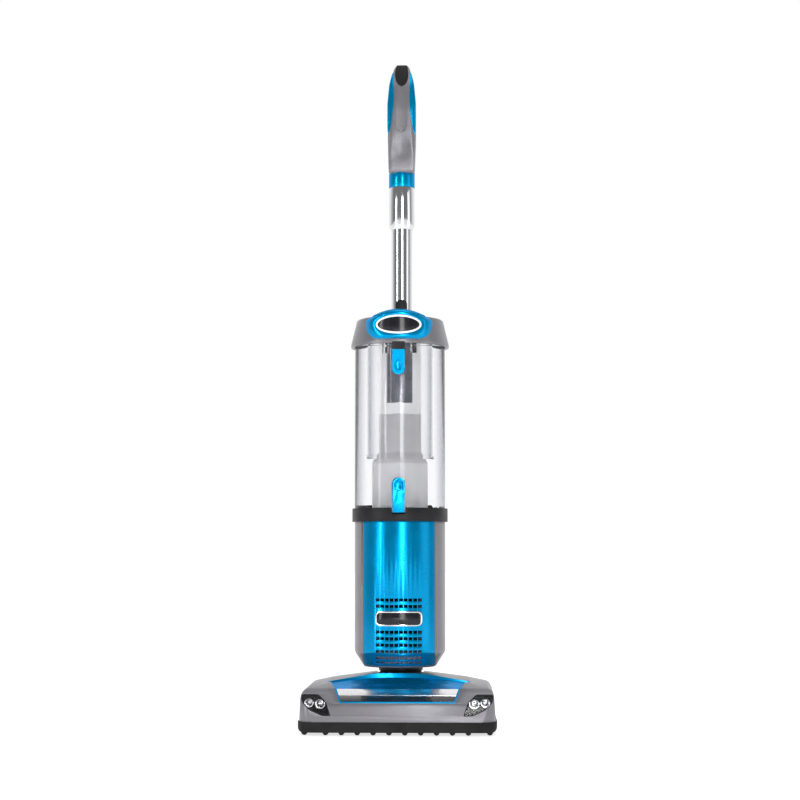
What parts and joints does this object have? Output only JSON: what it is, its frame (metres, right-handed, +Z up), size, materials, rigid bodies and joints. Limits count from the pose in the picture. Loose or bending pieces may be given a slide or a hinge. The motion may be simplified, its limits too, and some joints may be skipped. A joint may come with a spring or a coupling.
{
  "type": "upright vacuum cleaner",
  "caption": "Commercial upright vacuum cleaner: floor head with brush roll, motor pod, clear bagless cup, tube and loop handle.",
  "frame": {"origin": "on the floor, under the axis of the dust cup, midway between the bumper's front and the handle's back", "axes": "+Z up, +Y from the front of the machine to its back, +X to the right as seen from the front"},
  "size_m": [0.318, 0.3298, 1.162],
  "materials": {
    "grey_metallic": "metallic flake, satin",
    "blue_metallic": "metallic flake, gloss",
    "black_plastic": "fine texture",
    "black_rubber": "matt",
    "clear_plastic": "clear, polished",
    "frosted_plastic": "frosted",
    "smoked_plastic": "smoked, polished",
    "satin_chrome": "satin",
    "polished_tube": "polished",
    "steel": "ground",
    "white_plastic": "satin",
    "grey_tube": "satin",
    "foam": "open-cell foam",
    "filter_paper": "pleated paper",
    "motor_core": "varnished laminations and copper",
    "bristle": "nylon"
  },
  "bodies": {
    "floor_head": {"head_cover": "grey_metallic", "head_scoop": "blue_metallic", "brush_window": "smoked_plastic", "window_strip": "satin_chrome", "headlight_lenses": "clear_plastic", "headlight_housings": "black_plastic", "headlight_reflectors": "satin_chrome", "head_base": "black_plastic", "head_bumper": "black_rubber", "wheel_axles": "steel", "brush_motor": "steel", "drive_belt": "black_rubber", "head_duct": "black_plastic", "head_screws": "steel"},
    "brush": {"brush_roll": "black_plastic", "brush_bristles": "bristle"},
    "brush_drive": {"brush_motor_pulley": "steel"},
    "left_wheel": {"rear_wheel_left": "black_plastic"},
    "right_wheel": {"rear_wheel_right": "black_plastic"},
    "left_roller": {"front_roller_left": "black_plastic"},
    "right_roller": {"front_roller_right": "black_plastic"},
    "neck": {"neck": "black_plastic"},
    "upper": {"air_elbow": "black_plastic", "pod_housing": "grey_metallic", "motor_casing": "black_plastic", "motor_stator": "motor_core", "filter_tray": "white_plastic", "foam_filter": "foam", "pod_rim": "black_plastic", "seals_and_mounts": "black_rubber", "hepa_filter": "filter_paper", "air_duct_front": "black_plastic", "air_duct_rear": "black_plastic", "accessory_peg": "black_plastic"},
    "rotor": {"motor_rotor": "steel"},
    "cord_hook": {"cord_hook": "black_plastic"},
    "wand_latch": {"wand_latch": "black_plastic"},
    "filter_door": {"front_cover": "blue_metallic", "cover_badge": "satin_chrome"},
    "cup": {"dust_cup": "clear_plastic", "outlet_core": "frosted_plastic"},
    "cup_latch": {"cup_latch": "blue_metallic"},
    "lid": {"lid_cap": "grey_metallic", "lid_seal": "black_rubber", "lid_crown": "blue_metallic", "lid_badge": "white_plastic", "shroud": "clear_plastic", "outlet_sleeve": "white_plastic", "guide_tube": "grey_tube"},
    "lid_latch": {"lid_latch": "blue_metallic"},
    "wand": {"wand_tube": "polished_tube"},
    "handle": {"handle_sleeve": "polished_tube", "handle_shell_left": "grey_metallic", "handle_shell_right": "grey_metallic", "handle_inlays": "blue_metallic", "handle_panel": "grey_metallic", "handle_pad": "black_rubber"},
    "bleed_ring": {"bleed_ring": "blue_metallic"},
    "handle_release": {"handle_release": "black_plastic"},
    "power_switch": {"power_switch": "black_plastic"}
  },
  "joints": [
    {"name": "recline", "type": "hinge", "parent": "floor_head", "child": "neck", "pos_m": [0, 0.048, 0.046], "axis": [-1, 0, 0], "range_deg": [0, 60]},
    {"name": "swivel", "type": "hinge", "parent": "neck", "child": "upper", "pos_m": [0, 0.048, 0.0975], "axis": [0, 0, 1], "range_deg": [-45, 45]},
    {"name": "brush_spin", "type": "hinge", "parent": "floor_head", "child": "brush", "pos_m": [0, -0.123, 0.0255], "axis": [1, 0, 0], "continuous": true},
    {"name": "brush_motor_spin", "type": "hinge", "parent": "floor_head", "child": "brush_drive", "pos_m": [-0.09, -0.052, 0.033], "axis": [1, 0, 0], "continuous": true},
    {"name": "left_wheel_roll", "type": "hinge", "parent": "floor_head", "child": "left_wheel", "pos_m": [-0.134, 0.07, 0.027], "axis": [1, 0, 0], "continuous": true},
    {"name": "right_wheel_roll", "type": "hinge", "parent": "floor_head", "child": "right_wheel", "pos_m": [0.134, 0.07, 0.027], "axis": [1, 0, 0], "continuous": true},
    {"name": "left_roller_roll", "type": "hinge", "parent": "floor_head", "child": "left_roller", "pos_m": [-0.1, -0.076, 0.008], "axis": [1, 0, 0], "continuous": true},
    {"name": "right_roller_roll", "type": "hinge", "parent": "floor_head", "child": "right_roller", "pos_m": [0.1, -0.076, 0.008], "axis": [1, 0, 0], "continuous": true},
    {"name": "motor_spin", "type": "hinge", "parent": "upper", "child": "rotor", "pos_m": [0, 0.015, 0.19], "axis": [0, 0, 1], "continuous": true},
    {"name": "filter_door_pull", "type": "slide", "parent": "upper", "child": "filter_door", "axis": [0, -1, 0], "range_m": [0, 0.06]},
    {"name": "cup_lift", "type": "slide", "parent": "upper", "child": "cup", "axis": [0, 0, 1], "range_m": [0, 0.3]},
    {"name": "cup_latch_press", "type": "hinge", "parent": "cup", "child": "cup_latch", "pos_m": [0, -0.0793, 0.385], "axis": [-1, 0, 0], "range_deg": [0, 6], "stiffness_Nm_per_rad": 0.6},
    {"name": "lid_lift", "type": "slide", "parent": "cup", "child": "lid", "axis": [0, 0, 1], "range_m": [0, 0.16]},
    {"name": "lid_latch_pull", "type": "hinge", "parent": "lid", "child": "lid_latch", "pos_m": [0, -0.0798, 0.62], "axis": [-1, 0, 0], "range_deg": [0, 10], "stiffness_Nm_per_rad": 0.4},
    {"name": "wand_slide", "type": "slide", "parent": "upper", "child": "wand", "axis": [0, 0, 1], "range_m": [0, 0.07]},
    {"name": "handle_slide", "type": "slide", "parent": "wand", "child": "handle", "axis": [0, 0, 1], "range_m": [0, 0.085]},
    {"name": "bleed_ring_turn", "type": "hinge", "parent": "handle", "child": "bleed_ring", "pos_m": [0, 0.107, 0.947], "axis": [0, 0, 1], "range_deg": [0, 50]},
    {"name": "handle_release_press", "type": "slide", "parent": "handle", "child": "handle_release", "axis": [0, -1, 0], "range_m": [0, 0.002], "stiffness_N_per_m": 900},
    {"name": "power_switch_press", "type": "slide", "parent": "handle", "child": "power_switch", "axis": [0, -1, 0], "range_m": [0, 0.003], "stiffness_N_per_m": 700},
    {"name": "wand_latch_press", "type": "slide", "parent": "upper", "child": "wand_latch", "axis": [0, 1, 0], "range_m": [0, 0.0018], "stiffness_N_per_m": 900},
    {"name": "cord_hook_turn", "type": "hinge", "parent": "upper", "child": "cord_hook", "pos_m": [0, 0.131, 0.69], "axis": [0, 1, 0], "range_deg": [0, 180]}
  ],
  "couplings": [
    {"joint": "brush_motor_spin", "follows": "brush_spin", "ratio": 1.75}
  ]
}
